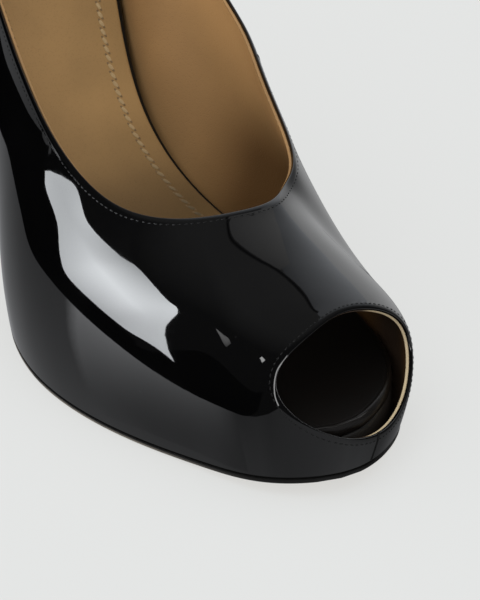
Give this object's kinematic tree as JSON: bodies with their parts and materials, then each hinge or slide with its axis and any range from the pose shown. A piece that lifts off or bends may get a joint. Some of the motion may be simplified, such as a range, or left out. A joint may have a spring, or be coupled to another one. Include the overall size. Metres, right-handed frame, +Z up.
{
  "type": "peep toe platform pump",
  "caption": "Right-foot high-heeled pump in glossy black leather: hollow upper with a low collar and a peep toe, concealed platform, tan insole and a slim covered heel.",
  "frame": {"origin": "floor level, at the middle of the shoe's box in plan", "axes": "+X towards the toe, +Y towards the wearer's inner side, +Z up"},
  "size_m": [0.2356, 0.0862, 0.1464],
  "materials": {
    "patent": "black patent, high gloss",
    "outsole": "tan leather underside with a black inked edge",
    "platform": "black leather cover, satin",
    "sock": "tan smooth leather, satin",
    "heel_cover": "black patent cover, high gloss",
    "top_piece": "matt black"
  },
  "bodies": {
    "root": {"upper": "patent", "outsole": "outsole", "platform": "platform", "insole": "sock", "heel": "heel_cover", "top_piece": "top_piece"}
  },
  "joints": []
}
